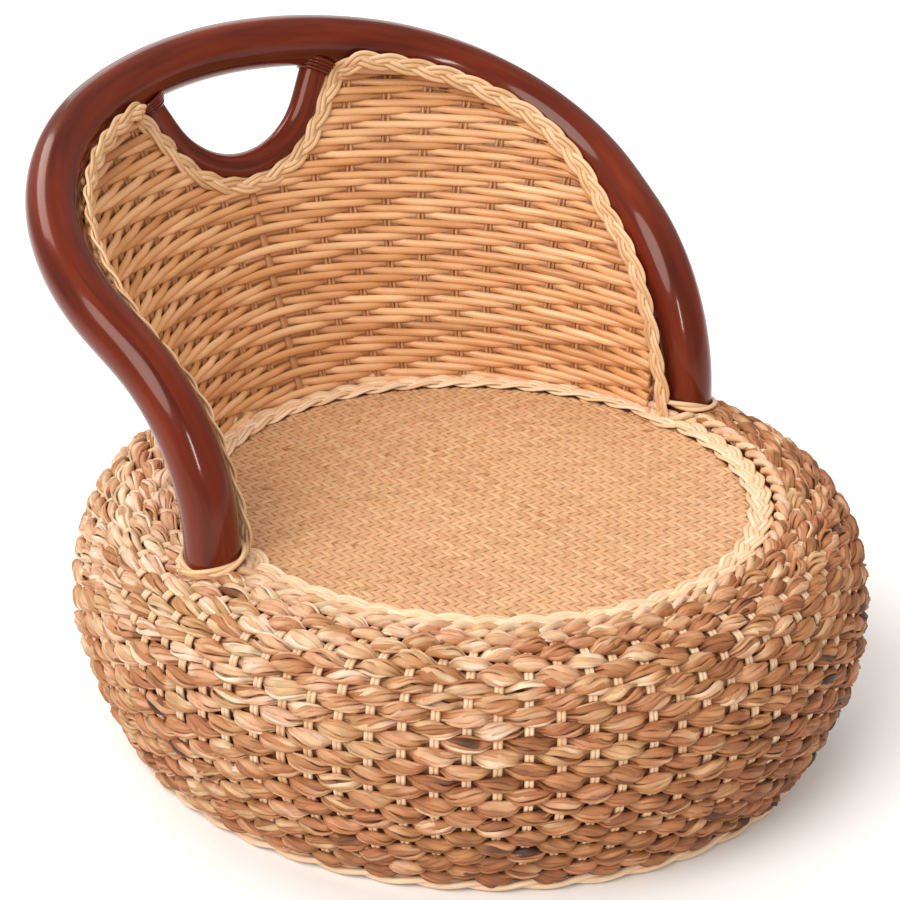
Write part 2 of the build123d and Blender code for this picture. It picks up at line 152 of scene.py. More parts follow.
class Strands:
    """Collects many strands into one mesh with a lengthways map and a tone for each point."""

    def __init__(self):
        self.points, self.faces, self.tones, self.count = [], [], [], 0

    def add(self, path, up, wide, thick, tone, closed=False, sides=8, roll=0.0, square=1.0):
        """One strand of oval section: half width across, half thickness along up, both per point."""
        n = len(path)
        along = directions(path, closed)
        side = unit(np.cross(along, np.broadcast_to(up, path.shape)))
        over = np.cross(side, along)
        wide, thick, roll = (np.broadcast_to(value, (n,))[:, None] for value in (wide, thick, roll))
        turn = np.arange(sides) * FULL_TURN / sides
        c, s = np.cos(turn)[None], np.sin(turn)[None]
        x = np.sign(c) * np.abs(c) ** square * wide
        y = np.sign(s) * np.abs(s) ** square * thick
        x, y = x * np.cos(roll) - y * np.sin(roll), x * np.sin(roll) + y * np.cos(roll)
        points = path[:, None] + side[:, None] * x[..., None] + over[:, None] * y[..., None]
        points = points.reshape(-1, 3)
        tones = np.repeat(np.broadcast_to(tone, (n,)), sides)

        rows = n if closed else n - 1
        i, j = np.arange(rows)[:, None], np.arange(sides)[None]
        i2, j2 = (i + 1) % n, (j + 1) % sides
        quads = np.stack([i * sides + j, i * sides + j2, i2 * sides + j2, i2 * sides + j], -1).reshape(-1, 4)
        length = lengths(path)
        start = np.broadcast_to(length[:rows, None], (rows, sides))
        end = np.broadcast_to(np.append(length, length[-1] + MAP_SEAM)[1:rows + 1, None], (rows, sides))
        across = np.broadcast_to(j, (rows, sides))
        maps = np.stack([start, across, start, across + 1, end, across + 1, end, across], -1)
        maps = maps.reshape(-1, 4, 2)
        maps[..., 0] = maps[..., 0] * MAP_SCALE + RNG.uniform(0, MAP_SPREAD)
        maps[..., 1] /= sides

        fans = np.zeros((0, 3), int)
        if not closed:
            fans = self.end_fans(n, sides)
            points = np.vstack([points, path[[0, -1]]])
            tones = np.append(tones, [tones[0], tones[-1]])
        fan_maps = np.tile(maps[0, 0], (len(fans), 3, 1))
        self.faces += [(quads + self.count, maps), (fans + self.count, fan_maps)]
        self.points.append(points)
        self.tones.append(tones)
        self.count += len(points)

    @staticmethod
    def end_fans(n, sides):
        """Triangles that close both ends of an open strand round two more points."""
        here = np.arange(sides)
        after = (here + 1) % sides
        last = (n - 1) * sides
        first_fan = np.stack([np.full(sides, n * sides), after, here], 1)
        last_fan = np.stack([np.full(sides, n * sides + 1), last + here, last + after], 1)
        return np.vstack([first_fan, last_fan])

    def mesh(self, name):
        """All the strands as a mesh in the part's frame, in metres."""
        points = (np.vstack(self.points) + [0, SHIFT_Y, 0]) * METRES
        corners = np.concatenate([faces.reshape(-1) for faces, _ in self.faces]).astype(np.int32)
        maps = np.concatenate([uv.reshape(-1, 2) for _, uv in self.faces])
        sizes = np.concatenate([np.full(len(faces), faces.shape[1]) for faces, _ in self.faces])
        starts = np.concatenate([[0], np.cumsum(sizes)[:-1]]).astype(np.int32)
        mesh = bpy.data.meshes.new(name)
        mesh.vertices.add(len(points))
        mesh.vertices.foreach_set("co", points.astype(np.float32).ravel())
        mesh.loops.add(len(corners))
        mesh.loops.foreach_set("vertex_index", corners)
        mesh.polygons.add(len(sizes))
        mesh.polygons.foreach_set("loop_start", starts)
        mesh.update(calc_edges=True)
        mesh.polygons.foreach_set("use_smooth", np.ones(len(sizes), bool))
        uv = mesh.uv_layers.new(name="strand")
        uv.data.foreach_set("uv", maps.astype(np.float32).ravel())
        tone = mesh.attributes.new("tone", "FLOAT", "POINT")
        tone.data.foreach_set("value", np.concatenate(self.tones).astype(np.float32))
        mesh.validate()
        return mesh


def put(strands, name, material, slot, *nodes):
    """Shows a set of strands as one piece in place of the named nodes."""
    piece = bpy.data.objects.new(name, strands.mesh(name))
    bpy.context.scene.collection.objects.link(piece)
    piece.data.materials.append(material)
    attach(piece, "root")
    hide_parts(*nodes)


# Materials

# Sockets of a colour mix, by number because their names repeat for each kind of value
MIX_FACTOR, MIX_FIRST, MIX_SECOND, MIX_COLOUR = 0, 6, 7, 2
STREAK_DETAIL, STREAK_LOW, STREAK_HIGH = 4.0, 0.30, 0.62
PATCH_SCALE, PATCH_DETAIL = 38.0, 2.0
PATCH_TINTS = [(0.38, (1.0, 0.91, 0.90)), (0.62, (0.97, 1.0, 0.90))]
COAT_ROUGH, RIB_DEPTH = 0.25, 0.0008
LACQUER_LENGTHWAYS, LACQUER_AROUND, LACQUER_DETAIL = 0.9, 9.0, 6.0
LACQUER_STOPS = [(0.30, (0.060, 0.008, 0.004)), (0.55, (0.130, 0.016, 0.005)), (0.80, (0.180, 0.028, 0.009))]
LACQUER_SKIN = {
    "Roughness": 0.20, "Specular IOR Level": 0.20, "Specular Tint": (1.0, 0.66, 0.52, 1),
    "Coat Weight": 0.32, "Coat Roughness": 0.07}
POLE_SCALE, POLE_DETAIL, POLE_DISTORTION = 60.0, 6.0, 1.5
POLE_DARK, POLE_LIGHT, POLE_ROUGH = 0.35, 0.65, 0.5


def new_material(name):
    material = bpy.data.materials.new(name)
    material.use_nodes = True
    tree = material.node_tree
    return material, tree, tree.nodes["Principled BSDF"]


def node(tree, kind, **settings):
    made = tree.nodes.new(kind)
    for key, value in settings.items():
        setattr(made, key, value)
    return made


def set_sockets(made, values):
    for socket, value in values.items():
        made.inputs[socket].default_value = value


def ramp(tree, factor, stops):
    made = node(tree, "ShaderNodeValToRGB")
    while len(made.color_ramp.elements) < len(stops):
        made.color_ramp.elements.new(0.5)
    for element, (spot, colour) in zip(made.color_ramp.elements, stops):
        element.position = spot
        element.color = (*colour, 1)
    tree.links.new(factor, made.inputs["Fac"])
    return made.outputs["Color"]


def noise(tree, vector, scale, detail, distortion=0.0):
    made = node(tree, "ShaderNodeTexNoise")
    set_sockets(made, {"Scale": scale, "Detail": detail, "Distortion": distortion})
    tree.links.new(vector, made.inputs["Vector"])
    return made.outputs["Fac"]


def own_place(tree):
    """Where a point lies on its piece."""
    return node(tree, "ShaderNodeTexCoord").outputs["Object"]


def streaks(tree, lengthways, around, detail):
    """Noise drawn out along a strand."""
    uv = node(tree, "ShaderNodeUVMap", uv_map="strand")
    mapping = node(tree, "ShaderNodeMapping")
    set_sockets(mapping, {"Scale": (lengthways, around, 1)})
    tree.links.new(uv.outputs["UV"], mapping.inputs["Vector"])
    return noise(tree, mapping.outputs["Vector"], 1.0, detail)


def multiply(tree, factor, first, second):
    made = node(tree, "ShaderNodeMix", data_type="RGBA", blend_type="MULTIPLY")
    set_sockets(made, {MIX_FACTOR: factor})
    tree.links.new(first, made.inputs[MIX_FIRST])
    tree.links.new(second, made.inputs[MIX_SECOND])
    return made.outputs[MIX_COLOUR]


def strand_material(name, stops, streak, rough, bump, around, lengthways, coat=0.0, patch=0.3):
    """A plant strand: tones from dark to light, drawn-out streaks, tinted patches and fine ribs."""
    material, tree, shader = new_material(name)
    tone = node(tree, "ShaderNodeAttribute", attribute_name="tone").outputs["Fac"]
    fine = streaks(tree, lengthways, around, STREAK_DETAIL)
    lines = ramp(tree, fine, [(STREAK_LOW, (1 - streak,) * 3), (STREAK_HIGH, (1.0, 1.0, 1.0))])
    patches = noise(tree, own_place(tree), PATCH_SCALE, PATCH_DETAIL)
    base = multiply(tree, 1.0, ramp(tree, tone, stops), lines)
    base = multiply(tree, patch, base, ramp(tree, patches, PATCH_TINTS))
    tree.links.new(base, shader.inputs["Base Color"])
    set_sockets(shader, {"Roughness": rough, "Coat Weight": coat, "Coat Roughness": COAT_ROUGH})
    ribs = node(tree, "ShaderNodeBump")
    set_sockets(ribs, {"Strength": bump, "Distance": RIB_DEPTH})
    tree.links.new(fine, ribs.inputs["Height"])
    tree.links.new(ribs.outputs["Normal"], shader.inputs["Normal"])
    return material


def lacquer_material(name):
    """Deep red-brown gloss lacquer over a pole with a faint grain."""
    material, tree, shader = new_material(name)
    grain = streaks(tree, LACQUER_LENGTHWAYS, LACQUER_AROUND, LACQUER_DETAIL)
    tree.links.new(ramp(tree, grain, LACQUER_STOPS), shader.inputs["Base Color"])
    set_sockets(shader, LACQUER_SKIN)
    return material


def pole_material(name, light, dark):
    """A bare rattan pole or a board: grain by place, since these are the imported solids."""
    material, tree, shader = new_material(name)
    grain = noise(tree, own_place(tree), POLE_SCALE, POLE_DETAIL, POLE_DISTORTION)
    tree.links.new(ramp(tree, grain, [(POLE_DARK, dark), (POLE_LIGHT, light)]), shader.inputs["Base Color"])
    set_sockets(shader, {"Roughness": POLE_ROUGH})
    return material


def plain_material(name, colour, rough, metal=0.0):
    material, tree, shader = new_material(name)
    set_sockets(shader, {"Base Color": (*colour, 1), "Roughness": rough, "Metallic": metal})
    return material


HYACINTH = strand_material(
    "hyacinth_leaf",
    [(0.00, (0.070, 0.024, 0.009)), (0.16, (0.27, 0.092, 0.028)), (0.45, (0.48, 0.200, 0.076)),
     (0.72, (0.67, 0.405, 0.230)), (1.00, (0.87, 0.690, 0.530))],
    streak=0.36, rough=0.62, bump=0.8, around=4.0, lengthways=7.0, patch=1.0)
CANE = strand_material(
    "cane",
    [(0.00, (0.31, 0.115, 0.033)), (0.50, (0.645, 0.302, 0.116)), (1.00, (0.86, 0.525, 0.275))],
    streak=0.14, rough=0.42, bump=0.20, around=6.0, lengthways=1.4, coat=0.25)
PALE_CANE = strand_material(
    "pale_cane",
    [(0.00, (0.48, 0.255, 0.105)), (0.50, (0.74, 0.455, 0.235)), (1.00, (0.91, 0.670, 0.470))],
    streak=0.20, rough=0.48, bump=0.25, around=6.0, lengthways=1.4, coat=0.1)
MAT = strand_material(
    "mat_strip",
    [(0.00, (0.36, 0.150, 0.055)), (0.50, (0.62, 0.335, 0.165)), (1.00, (0.74, 0.460, 0.260))],
    streak=0.22, rough=0.50, bump=0.20, around=4.0, lengthways=1.6)
LACQUER = lacquer_material("lacquer")
RATTAN = pole_material("rattan_pole_skin", light=(0.62, 0.42, 0.22), dark=(0.45, 0.27, 0.12))
BOARD = pole_material("plywood_face", light=(0.66, 0.50, 0.32), dark=(0.52, 0.36, 0.20))
STEEL = plain_material("screw_steel", (0.55, 0.55, 0.57), rough=0.35, metal=1.0)
GLIDE = plain_material("glide_nylon", (0.03, 0.027, 0.025), rough=0.5)

# The pouf's side, as a curve from the foot to the rim

PROFILE_STEPS, PROFILE_POINTS, PROFILE_SMOOTH = 400, 601, 15


def side_arc(share, end_a, end_z, power):
    """A rounded arc of the side from the belly towards an end, at shares of the way, as a and z."""
    turn = share * np.pi / 2
    a = BELLY_A - (BELLY_A - end_a) * (1 - np.cos(turn) ** (2 / power))
    z = BELLY_Z + (end_z - BELLY_Z) * np.sin(turn) ** (2 / power)
    return np.stack([a, z], 1)


def pouf_profile():
    """The side in even steps as a and z, and its smoothed directions."""
    foot = side_arc(np.linspace(1, 0, PROFILE_STEPS + 1), FOOT_A, FOOT_Z, SKIRT_POWER)
    top = side_arc(np.linspace(0, 1, PROFILE_STEPS + 1)[1:], RIM_A, RIM_Z, SHOULDER_POWER)
    curve = resample(np.vstack([foot, top]), PROFILE_POINTS)
    along = directions(curve)
    kernel = np.ones(PROFILE_SMOOTH) / PROFILE_SMOOTH
    return curve, unit(np.stack([smoothed(column, kernel) for column in along.T], 1))


PROFILE, PROFILE_ALONG = pouf_profile()


def pouf(theta, share, out):
    """Points of the pouf's side at an angle, a share of the way up and a distance outwards."""
    theta, share, out = np.broadcast_arrays(theta, share, out)
    spot = np.clip(share, 0, 1) * (len(PROFILE) - 1)
    grid = np.arange(len(PROFILE))
    a, z = (np.interp(spot, grid, column) for column in PROFILE.T)
    along_a, along_z = (np.interp(spot, grid, column) for column in PROFILE_ALONG.T)
    upper = z > BELLY_Z
    inset = (BELLY_A - a) / (BELLY_A - np.where(upper, RIM_A, FOOT_A))
    b = BELLY_B - inset * (BELLY_B - np.where(upper, RIM_B, FOOT_B))
    y = np.where(upper, SEAT_Y * inset, 0.0)
    x, y = (a + along_z * out) * np.cos(theta), y + (b + along_z * out) * np.sin(theta)
    return np.stack([x, y, z - along_a * out], -1)


# The arch and the hand loop, as middle lines from the left to the right

ARCH_TOP, ARCH_SLOPE = np.array([0, 294.0, 423.0]), math.radians(27.8)
CROWN_R, CROWN_TURN, CROWN_POINTS = 285.0, math.radians(23.8), 30
SIDE_R, SIDE_TURN, SIDE_POINTS = 186.0, math.radians(73.2), 60
STRAIGHT = 28.0
KNEE_R, KNEE_POINTS = 135.0, 40
LEG_END, LEG_POINTS = 16.0, 30
LOOP_LEAN, LOOP_TURN, LOOP_BEND_R, LOOP_POINTS = math.radians(12.6), math.radians(62.0), 70.0, 30
LOOP_Y, LOOP_Z, LOOP_RISE = 266.0, 340.0, 83.0
ARCH_STEP, LOOP_STEP = 2.0, 3.0


def arc(start, heading, toward, radius, turn, count):
    """Points of an arc that bends from a heading towards a direction, and the heading at its end."""
    side = unit(toward - heading * np.dot(toward, heading))
    angle = np.linspace(0, turn, count)[:, None]
    centre = start + side * radius
    points = centre - side * radius * np.cos(angle) + heading * radius * np.sin(angle)
    return points, heading * math.cos(turn) + side * math.sin(turn)


def arch_half():
    """The right half of the arch from its top to the end of the leg, and the top of the leg."""
    right, down = np.array([1.0, 0, 0]), -UP
    down_slope = np.array([0, -math.cos(ARCH_SLOPE), -math.sin(ARCH_SLOPE)])
    normal = np.cross(right, down_slope)
    crown, heading = arc(ARCH_TOP, right, down_slope, CROWN_R, CROWN_TURN, CROWN_POINTS)
    side, heading = arc(crown[-1], heading, np.cross(normal, heading), SIDE_R, SIDE_TURN, SIDE_POINTS)
    start = side[-1] + heading * STRAIGHT
    bend = math.acos(np.dot(heading, down))
    knee, heading = arc(start, heading, down, KNEE_R, bend, KNEE_POINTS)
    leg_top = knee[-1]
    leg = np.linspace(leg_top, [leg_top[0], leg_top[1], LEG_END], LEG_POINTS)
    return np.vstack([crown, side[1:], knee, leg[1:]]), leg_top


def loop_half():
    """The right half of the hand loop: a bend and a straight arm, in a plane that leans back."""
    angle = np.linspace(0, LOOP_TURN, LOOP_POINTS)
    x, h = LOOP_BEND_R * np.sin(angle), LOOP_BEND_R - LOOP_BEND_R * np.cos(angle)
    rise = LOOP_RISE / math.cos(LOOP_LEAN)
    reach = (rise - h[-1]) / math.tan(LOOP_TURN)
    x, h = np.append(x, x[-1] + reach), np.append(h, rise)
    return np.stack([x, LOOP_Y + h * math.sin(LOOP_LEAN), LOOP_Z + h * math.cos(LOOP_LEAN)], 1)


ARCH_RIGHT, LEG_TOP = arch_half()
ARCH = both_sides(ARCH_RIGHT)
ARCH_FINE = even_steps(ARCH, ARCH_STEP)
LOOP = even_steps(both_sides(loop_half()), LOOP_STEP)
LOOP_SIDE = LOOP[LOOP[:, 0] >= 0]

# The flaring back. Its oval plan grows with the rise over the board, and its edge laps over the arch.

BACK_A, BACK_A_RISE, BACK_A_FLARE = 191.0, 0.06, 0.0018
BACK_B, BACK_B_RISE = 196.6, 0.40
NORMAL_TURN, NORMAL_RISE = 0.01, 1.0
LAP_START, LAP_HEIGHT, LAP_REACH = 200.0, 80.0, 8.0
SHEET_GAP = 1.5
EDGE_FROM_ARCH, EDGE_FROM_LOOP, OUTSIDE = 16.0, 13.0, -50.0
RAYS, RAY_SPILL, RAY_FOOT = 260, 0.03, 176.0
RAY_START, RAY_END, RAY_STEP = 20, 420, 1.5
EDGE_MEAN_R, EDGE_TURN, EDGE_LOWEST = 215.0, 1.58, 168
EDGE_KERNEL = np.array([1, 2, 3, 2, 1]) / 9


def back_plan(z):
    """Half width and depth of the back's oval plan at a height."""
    rise = z - BOARD_TOP
    return BACK_A + BACK_A_RISE * rise + BACK_A_FLARE * rise ** 2, BACK_B + BACK_B_RISE * rise


def back(turn, z, out=0.0):
    """Points of the back's middle surface at a turn from its middle, a height and a distance outwards."""
    turn, z, out = np.broadcast_arrays(turn, z, out)
    a, b = back_plan(z)
    return np.stack([(a + out) * np.sin(turn), (b + out) * np.cos(turn), z], -1)


def back_normal(turn, z):
    """The back's normal, pointing to the sitter."""
    across = back(turn + NORMAL_TURN, z) - back(turn - NORMAL_TURN, z)
    rise = back(turn, z + NORMAL_RISE) - back(turn, z - NORMAL_RISE)
    return unit(np.cross(across, rise))


ARCH_UP = ARCH_RIGHT[::-1]
ARCH_PLAN = back_plan(ARCH_UP[:, 2])
ARCH_TURN = np.arctan2(ARCH_UP[:, 0] / ARCH_PLAN[0], ARCH_UP[:, 1] / ARCH_PLAN[1])


def lap(z):
    """How far the sheet's edge laps over the arch's inner face: 0 at the legs and 1 higher up."""
    return ease(np.clip((z - LAP_START) / LAP_HEIGHT, 0, 1))


def sheet(turn, z, out):
    """Points of the woven back, which comes forward at its edge to lie on the inner face of the arch."""
    turn, z, out = np.broadcast_arrays(turn, z, out)
    points = back(turn, z)
    away = gaps_to(points, ARCH_FINE)
    forward = np.sum(away * unit(back(turn, z, -1.0) - points), axis=1)
    spare = (POLE_R + SHEET_GAP) ** 2 - np.sum(away * away, axis=1) + forward ** 2
    push = np.sqrt(np.maximum(spare, 0)) - forward
    return back(turn, z, out - np.where(spare > 0, np.maximum(push, 0), 0))


def room(turn, z, spare=0.0):
    """How far points lie inside the back's edge, below zero outside it; spare moves the edge at the loop."""
    points = back(turn, z)
    arch = np.linalg.norm(gaps_to(points, ARCH_FINE), axis=1)
    loop = np.linalg.norm(gaps_to(points, LOOP), axis=1)
    outside = np.abs(turn) > np.interp(z, ARCH_UP[:, 2], ARCH_TURN)
    hole = np.abs(points[:, 0]) < np.interp(z, LOOP_SIDE[:, 2], LOOP_SIDE[:, 0], left=-1.0)
    inside = np.minimum(arch - EDGE_FROM_ARCH + LAP_REACH * lap(z), loop - EDGE_FROM_LOOP + spare)
    return np.where(outside | hole, OUTSIDE, inside)


def border_path():
    """The edge of the woven back, found along rays from the foot of its middle, left to right."""
    found = []
    reach = np.arange(RAY_START, RAY_END, RAY_STEP)
    for angle in np.linspace(math.pi + RAY_SPILL, -RAY_SPILL, RAYS):
        turn = reach * math.cos(angle) / EDGE_MEAN_R
        z = RAY_FOOT + reach * math.sin(angle)
        keep = (np.abs(turn) < EDGE_TURN) & (z > EDGE_LOWEST)
        out = np.nonzero(room(turn[keep], z[keep]) < 0)[0]
        if len(out) and out[0] > 0:
            found.append((turn[keep][out[0]], z[keep][out[0]]))
    turn, z = (smoothed(column, EDGE_KERNEL) for column in np.array(found).T)
    length = np.concatenate([[0], np.cumsum(np.hypot(np.diff(turn) * EDGE_MEAN_R, np.diff(z)))])
    spots = np.linspace(0, length[-1], int(length[-1] / RAY_STEP))
    return np.interp(spots, length, turn), np.interp(spots, length, z)


# Weave of the pouf. Tones run from 0 for dark to 1 for pale.

LEAVES, LEAF_SAMPLES, LEAF_SIDES, ROWS_PER_PIECE = 6, 8, 6, 3
SWELL_ROUND, SWELL_POINTED = 0.15, 0.7
BUNDLE_WIDE, BUNDLE_WIDE_SWELL = 4.1, 4.5
BUNDLE_THICK, BUNDLE_THICK_SWELL = 2.7, 1.3
BUNDLE_OUT, WAVE_DEPTH, WAVE_SHARP, WAVE_SHIFT = -5.6, 4.0, 2.2, 0.35
LEAF_TWIST, LEAF_REACH = 0.17, 0.58
LEAF_WIDE, LEAF_WIDE_FOLD, LEAF_THICK, LEAF_SKIN = 0.40, 0.06, 0.20, 0.45
# Painted light: the tone rises row by row, so upper rows are paler and lower rows darker.
# Painted shade: one side of the pouf is made darker than the other.
ROW_TONE, PAINTED_ROW_LIGHT, PAINTED_SIDE_SHADE, LEAF_TONE_SPREAD = 0.33, 0.30, 0.18, 0.18
# How much a thing varies along a row, and the length of its waves in stakes
VARIES = {
    "fat": (0.18, 2.0), "depth": (0.7, 1.0), "height": (0.10, 1.6), "twist": (0.12, 2.5),
    "bundle_tone": (0.14, 2.0), "leaf_angle": (0.45, 1.6), "leaf_reach": (0.10, 0.6),
    "leaf_tone": (0.20, 0.8), "leaf_fold": (0.45, 0.8)}
# Painted light and shade: the bundles are darkest towards this angle, at the front right, and palest opposite
# it.
PAINTED_SHADE_SIDE = math.radians(-30)
LEFT_LEG = math.pi - math.atan2(LEG_TOP[1], LEG_TOP[0])
# Stained leaves: how many bundles have them by the left leg and elsewhere, how many leaves, how dark
STAIN_SPAN, STAIN_NEAR, STAIN_FAR, STAIN_LEAVES, STAIN_DARK = 0.16, 0.3, 0.010, 0.4, 0.38
# The lining's dark tone is painted shade: it shows in the gaps between the bundles.
LINING_OUT, LINING_WIDE, LINING_THICK, LINING_SHADE_TONE, LINING_SIDES = -8.6, 5.5, 0.6, 0.30, 4
LEAF_CLEAR, STAKE_CLEAR, SHOULDER_Z = 3.5, 2.5, 120
STAKE_STEPS, STAKE_OUT, STAKE_SWAY, STAKE_JITTER, STAKE_APART = 3, -5.0, 1.1, 0.004, 0.0055
STAKE_WIDE, STAKE_THICK, STAKE_SIDES, STAKE_TONE, STAKE_TONE_SPREAD = 1.7, 1.6, 6, 0.72, (-0.15, 0.2)


def clear_of_legs(points, gap):
    """Moves points that lie in a leg out to a gap from its surface."""
    for side in (1, -1):
        leg = [side * LEG_TOP[0], LEG_TOP[1]]
        away = points[:, :2] - leg
        far = np.linalg.norm(away, axis=1, keepdims=True)
        near = (far[:, 0] < POLE_R + gap) & (points[:, 2] > SHOULDER_Z)
        moved = away / np.maximum(far, TINY) * (POLE_R + gap)
        points[near, :2] = moved[near] + leg
    return points


def base_rows(first, last):
    """Rows of leaf bundles that pass in front of every second stake, each over a dark flat lining that closes
    the gaps and stands in for the shade between the rows.
    """
    strands = Strands()
    count = STAKES * LEAF_SAMPLES
    theta = circle(count)
    phase = theta / FULL_TURN * STAKES - 0.5

    def varies(what):
        size, stakes = VARIES[what]
        return size * smooth_noise(count, stakes * LEAF_SAMPLES)

    for row in range(first, last):
        over = np.cos(np.pi * (phase + row))
        swell = SWELL_ROUND * (over + 1) + SWELL_POINTED * np.abs((phase + row) % 2 - 1)
        fat = 1 + varies("fat")
        out = BUNDLE_OUT + WAVE_DEPTH * np.tanh(WAVE_SHARP * (over + WAVE_SHIFT)) + varies("depth")
        share = (row + 0.5 + varies("height")) / ROWS
        wide = (BUNDLE_WIDE + BUNDLE_WIDE_SWELL * swell) * fat
        thick = (BUNDLE_THICK + BUNDLE_THICK_SWELL * swell) * fat
        centre = pouf(theta, share, out)
        up = unit(pouf(theta, share, out + 1) - centre)
        side = unit(np.cross(directions(centre, True), up))
        turn = np.cumsum(RNG.choice([-1, 1]) * LEAF_TWIST + varies("twist"))
        turn -= np.linspace(0, turn[-1] - FULL_TURN * round(turn[-1] / FULL_TURN), count)
        # Painted light and shade: each bundle is darker towards the front right and paler towards the back
        # left.
        bundle_tone = varies("bundle_tone") - PAINTED_SIDE_SHADE * np.cos(theta - PAINTED_SHADE_SIDE)
        chance = np.where(np.abs(theta[::LEAF_SAMPLES] - LEFT_LEG) < STAIN_SPAN, STAIN_NEAR, STAIN_FAR)
        stain = np.repeat(RNG.random(STAKES) < chance, LEAF_SAMPLES) * STAIN_DARK
        for leaf in range(LEAVES):
            angle = turn + leaf * FULL_TURN / LEAVES + varies("leaf_angle")
            reach = LEAF_REACH + varies("leaf_reach")
            path = centre + side * (np.cos(angle) * wide * reach)[:, None]
            path = path + up * (np.sin(angle) * thick * reach)[:, None]
            # Painted light and shade: paler in the upper rows and darker in the lower ones.
            tone = ROW_TONE + PAINTED_ROW_LIGHT * row / ROWS + bundle_tone
            tone = tone + RNG.uniform(-LEAF_TONE_SPREAD, LEAF_TONE_SPREAD)
            tone += varies("leaf_tone") - stain * (RNG.random() < STAIN_LEAVES)
            fold = varies("leaf_fold")
            strands.add(
                clear_of_legs(path, LEAF_CLEAR), up,
                wide * (LEAF_WIDE + LEAF_WIDE_FOLD * fold), thick * LEAF_THICK + LEAF_SKIN,
                np.clip(tone, 0, 1), closed=True, sides=LEAF_SIDES, roll=angle + np.pi / 2 + fold)
        # A dark strip behind the row: painted shade in the gaps between the bundles.
        lining = clear_of_legs(pouf(theta, (row + 1) / ROWS, LINING_OUT), LEAF_CLEAR)
        strands.add(lining, up, LINING_WIDE, LINING_THICK, LINING_SHADE_TONE, closed=True, sides=LINING_SIDES)
    return strands


def base_stakes():
    """Pairs of thin sticks up the weave, swaying against the rows."""
    strands = Strands()
    share = np.linspace(0.0, 1.0, ROWS * STAKE_STEPS + 1)
    for number in range(STAKES):
        theta = (number + 0.5) * FULL_TURN / STAKES + RNG.uniform(-STAKE_JITTER, STAKE_JITTER)
        out = STAKE_OUT - STAKE_SWAY * np.cos(np.pi * (number + share * ROWS - 0.5))
        up = unit(pouf(theta, share, out + 1) - pouf(theta, share, out))
        for lean in (-1, 1):
            path = clear_of_legs(pouf(theta + lean * STAKE_APART, share, out), STAKE_CLEAR)
            tone = STAKE_TONE + RNG.uniform(*STAKE_TONE_SPREAD)
            strands.add(path, up, STAKE_WIDE, STAKE_THICK, tone, sides=STAKE_SIDES)
    return strands


# Ropes and braids. The tone of a strand varies by a spread and by waves of so many samples.

ROPE_STRANDS, ROPE_FAT = 2, 1.06
ROPE_TONE_SPREAD, ROPE_TONE_WAVE, ROPE_TONE_STEP = 0.1, 0.08, 12
PLAIT_STRANDS, PLAIT_LIFT, PLAIT_APART, PLAIT_FLAT, PLAIT_SIDES = 3, 0.75, 1.9, 0.62, 7
PLAIT_TONE_SPREAD, PLAIT_TONE_WAVE, PLAIT_TONE_STEP = 0.18, 0.08, 14


def laid(path, up, lay, closed):
    """Directions along, across and over a path, and its turns at a lay length, whole ones if it is closed."""
    along = directions(path, closed)
    side = unit(np.cross(along, up))
    over = np.cross(side, along)
    step = np.linalg.norm(np.diff(path, axis=0, append=path[:1] if closed else path[-1:]), axis=1)
    length = np.concatenate([[0], np.cumsum(step)])[:len(path)]
    turns = length / lay
    if closed:
        total = length[-1] + step[-1]
        turns = length / total * round(total / lay)
    return along, side, over, turns


def rope(strands, path, radius, lay, tone):
    """A level, closed rope of twisted strands along a path."""
    _, side, over, turns = laid(path, UP, lay, True)
    for k in range(ROPE_STRANDS):
        angle = FULL_TURN * (turns + k / ROPE_STRANDS)
        line = path + side * (np.cos(angle) * radius)[:, None] + over * (np.sin(angle) * radius)[:, None]
        shade = tone + RNG.uniform(-ROPE_TONE_SPREAD, ROPE_TONE_SPREAD)
        shade = shade + ROPE_TONE_WAVE * smooth_noise(len(path), ROPE_TONE_STEP)
        strands.add(line, UP, radius * ROPE_FAT, radius * ROPE_FAT, np.clip(shade, 0, 1), closed=True)


def plait(strands, path, up, half, cane, lay, tone, canes, closed=False):
    """A flat braid of three strands that swing by half to each side, each of a few canes side by side."""
    along, side, over, turns = laid(path, up, lay, closed)
    for k in range(PLAIT_STRANDS):
        angle = FULL_TURN * (turns + k / PLAIT_STRANDS)
        across = half * np.sin(angle)
        slant = FULL_TURN / lay * half * np.cos(angle)
        stretch = np.sqrt(1 + slant ** 2)
        lift = cane * PLAIT_LIFT * np.sin(2 * angle)
        for number in range(canes):
            beside = (number - (canes - 1) / 2) * PLAIT_APART * cane
            line = path + side * (across + beside / stretch)[:, None] + over * lift[:, None]
            line = line - along * (beside * slant / stretch)[:, None]
            shade = tone + RNG.uniform(-PLAIT_TONE_SPREAD, PLAIT_TONE_SPREAD)
            shade = shade + PLAIT_TONE_WAVE * smooth_noise(len(path), PLAIT_TONE_STEP)
            strands.add(
                line, up, cane, cane * PLAIT_FLAT, np.clip(shade, 0, 1), closed=closed, sides=PLAIT_SIDES)


# Seat mat

MAT_PITCH_X, MAT_PITCH_Y, MAT_A, MAT_B = 4.6, 4.95, 184.5, 197.5
MAT_TRIM, MAT_REPEAT, MAT_SHARP = 0.5, 4, 1.5
STRIP_DEPTH, STRIP_WAVE, STRIP_THICK, STRIP_SIDES, STRIP_SQUARE = 1.0, 0.42, 0.55, 6, 0.7
# Painted light and shade: a strip is paler where it lies on top and darker where it dips under.
STRIP_TONE, STRIP_TONE_SPREAD, STRIP_TONE_WAVE, STRIP_TONE_STEP, STRIP_RECESS_SHADE = 0.58, 0.14, 0.14, 16, 0.06
FLECK_CHANCE, FLECK_DARK, FLECK_TAIL = 0.006, 0.5, 0.25


